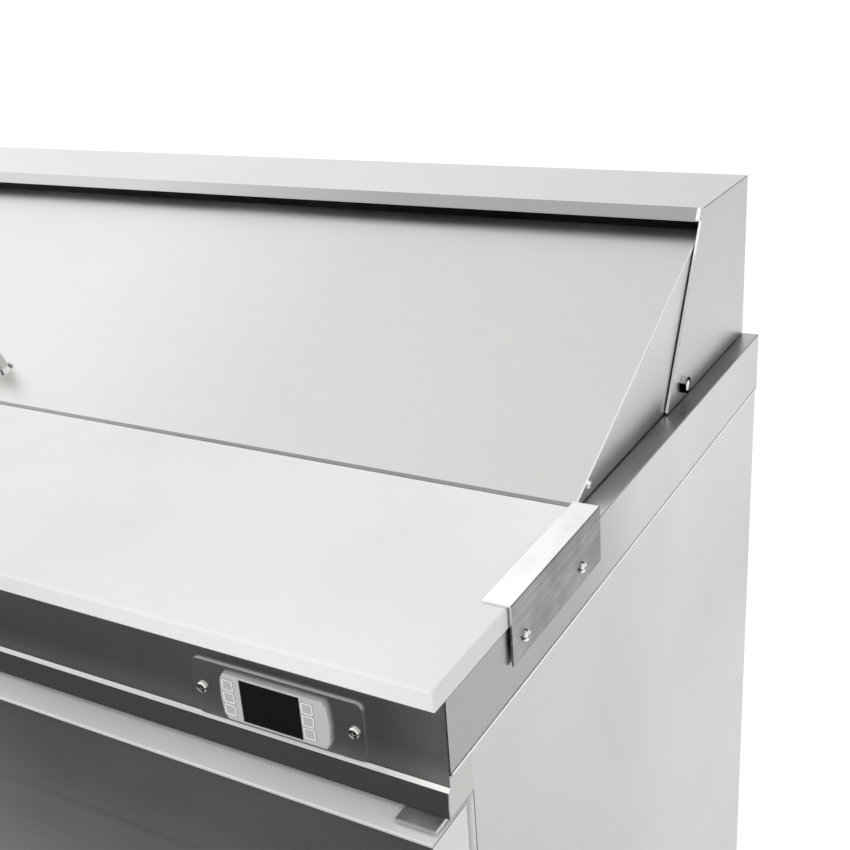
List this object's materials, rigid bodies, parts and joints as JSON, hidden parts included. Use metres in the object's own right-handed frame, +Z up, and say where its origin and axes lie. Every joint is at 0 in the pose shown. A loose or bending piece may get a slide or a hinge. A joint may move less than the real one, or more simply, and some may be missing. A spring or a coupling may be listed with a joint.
{
  "type": "refrigerated sandwich prep table",
  "caption": "Long two-door refrigerated prep table with a white cutting board and a sloped roll-back lid over rows of food pans.",
  "frame": {"origin": "on the floor under the centre of the overall box", "axes": "+Z up, the doors and cutting board face -Y, +X is the side with the control panel"},
  "size_m": [1.5408, 0.762, 1.125],
  "materials": {
    "brushed": "brushed stainless sheet, fine horizontal grain",
    "zinc": "zinc plated steel",
    "liner": "stucco aluminium liner",
    "hdpe": "white cutting board plastic",
    "foam": "rigid polyurethane foam",
    "bezel": "satin grey moulded plastic",
    "key": "satin grey keys with white outline",
    "window": "glossy black window",
    "white_plastic": "white plastic",
    "gasket": "grey magnetic gasket",
    "black_plastic": "black plastic",
    "compressor": "black enamel",
    "tyre": "dark grey polyurethane",
    "chrome": "polished screw steel",
    "fin": "thin bare fins"
  },
  "bodies": {
    "cabinet": {"back_panel": "zinc", "base_pan": "zinc", "board_clips": "brushed", "caster_plates": "zinc", "clip_screws": "chrome", "compressor": "compressor", "condenser_coil": "fin", "control_plate": "brushed", "control_plate_screws": "chrome", "controller_housing": "bezel", "display_window": "window", "evaporator_coil": "fin", "evaporator_cover": "zinc", "fan_motors": "black_plastic", "fascia_panel": "brushed", "food_pans": "brushed", "front_frame": "white_plastic", "hinge_plates": "zinc", "inner_liner": "liner", "insulation_panels": "foam", "lid_pivot_bolts": "chrome", "machine_tray": "zinc", "pan_divider_bars": "brushed", "power_inlet": "black_plastic", "rear_grille": "zinc", "rear_hood": "brushed", "rear_spacers": "zinc", "shelf_supports": "brushed", "side_panels": "brushed", "wire_shelves": "chrome", "worktop_rim": "brushed"},
    "cutting_board": {"cutting_board": "hdpe"},
    "lid": {"lid_panel": "brushed", "lid_inner_panel": "brushed", "lid_handle": "chrome", "lid_screws": "chrome"},
    "evaporator_fan": {"evaporator_fan": "black_plastic"},
    "condenser_fan": {"condenser_fan": "black_plastic"},
    "door_right": {"door_skin_right": "brushed", "door_inner_panel_right": "white_plastic", "door_gasket_right": "gasket", "door_handle_right": "black_plastic"},
    "door_left": {"door_skin_left": "brushed", "door_inner_panel_left": "white_plastic", "door_gasket_left": "gasket", "door_handle_left": "black_plastic"},
    "key_left_low": {"key_left_low": "key"},
    "key_left_mid": {"key_left_mid": "key"},
    "key_left_top": {"key_left_top": "key"},
    "key_right_low": {"key_right_low": "key"},
    "key_right_mid": {"key_right_mid": "key"},
    "key_right_top": {"key_right_top": "key"},
    "caster_front_left": {"caster_fork_front_left": "zinc"},
    "wheel_front_left": {"caster_wheel_front_left": "tyre"},
    "caster_front_right": {"caster_fork_front_right": "zinc"},
    "wheel_front_right": {"caster_wheel_front_right": "tyre"},
    "caster_rear_left": {"caster_fork_rear_left": "zinc"},
    "wheel_rear_left": {"caster_wheel_rear_left": "tyre"},
    "caster_rear_right": {"caster_fork_rear_right": "zinc"},
    "wheel_rear_right": {"caster_wheel_rear_right": "tyre"}
  },
  "joints": [
    {"name": "board_slide", "type": "slide", "parent": "cabinet", "child": "cutting_board", "axis": [0, -1, 0], "range_m": [0, 0.15]},
    {"name": "lid_hinge", "type": "hinge", "parent": "cabinet", "child": "lid", "pos_m": [0, 0.146, 0.9696], "axis": [-1, 0, 0], "range_deg": [0, 68]},
    {"name": "door_right_hinge", "type": "hinge", "parent": "cabinet", "child": "door_right", "pos_m": [0.748, -0.358, 0.525], "axis": [0, 0, 1], "range_deg": [0, 100]},
    {"name": "door_left_hinge", "type": "hinge", "parent": "cabinet", "child": "door_left", "pos_m": [-0.748, -0.358, 0.525], "axis": [0, 0, -1], "range_deg": [0, 100]},
    {"name": "evaporator_fan_spin", "type": "hinge", "parent": "cabinet", "child": "evaporator_fan", "pos_m": [0, 0.177, 0.62], "axis": [0, 1, 0], "continuous": true},
    {"name": "condenser_fan_spin", "type": "hinge", "parent": "cabinet", "child": "condenser_fan", "pos_m": [-0.33, 0.204, 0.29], "axis": [0, 1, 0], "continuous": true},
    {"name": "key_left_low_press", "type": "slide", "parent": "cabinet", "child": "key_left_low", "axis": [0, 1, 0], "range_m": [0, 0.0008], "stiffness_N_per_m": 400},
    {"name": "key_left_mid_press", "type": "slide", "parent": "cabinet", "child": "key_left_mid", "axis": [0, 1, 0], "range_m": [0, 0.0008], "stiffness_N_per_m": 400},
    {"name": "key_left_top_press", "type": "slide", "parent": "cabinet", "child": "key_left_top", "axis": [0, 1, 0], "range_m": [0, 0.0008], "stiffness_N_per_m": 400},
    {"name": "key_right_low_press", "type": "slide", "parent": "cabinet", "child": "key_right_low", "axis": [0, 1, 0], "range_m": [0, 0.0008], "stiffness_N_per_m": 400},
    {"name": "key_right_mid_press", "type": "slide", "parent": "cabinet", "child": "key_right_mid", "axis": [0, 1, 0], "range_m": [0, 0.0008], "stiffness_N_per_m": 400},
    {"name": "key_right_top_press", "type": "slide", "parent": "cabinet", "child": "key_right_top", "axis": [0, 1, 0], "range_m": [0, 0.0008], "stiffness_N_per_m": 400},
    {"name": "swivel_front_left", "type": "hinge", "parent": "cabinet", "child": "caster_front_left", "pos_m": [-0.69, -0.275, 0.138], "axis": [0, 0, 1], "continuous": true},
    {"name": "roll_front_left", "type": "hinge", "parent": "caster_front_left", "child": "wheel_front_left", "pos_m": [-0.69, -0.24, 0.0625], "axis": [1, 0, 0], "continuous": true},
    {"name": "swivel_front_right", "type": "hinge", "parent": "cabinet", "child": "caster_front_right", "pos_m": [0.69, -0.275, 0.138], "axis": [0, 0, 1], "continuous": true},
    {"name": "roll_front_right", "type": "hinge", "parent": "caster_front_right", "child": "wheel_front_right", "pos_m": [0.69, -0.24, 0.0625], "axis": [1, 0, 0], "continuous": true},
    {"name": "swivel_rear_left", "type": "hinge", "parent": "cabinet", "child": "caster_rear_left", "pos_m": [-0.69, 0.255, 0.138], "axis": [0, 0, 1], "continuous": true},
    {"name": "roll_rear_left", "type": "hinge", "parent": "caster_rear_left", "child": "wheel_rear_left", "pos_m": [-0.69, 0.29, 0.0625], "axis": [1, 0, 0], "continuous": true},
    {"name": "swivel_rear_right", "type": "hinge", "parent": "cabinet", "child": "caster_rear_right", "pos_m": [0.69, 0.255, 0.138], "axis": [0, 0, 1], "continuous": true},
    {"name": "roll_rear_right", "type": "hinge", "parent": "caster_rear_right", "child": "wheel_rear_right", "pos_m": [0.69, 0.29, 0.0625], "axis": [1, 0, 0], "continuous": true}
  ]
}
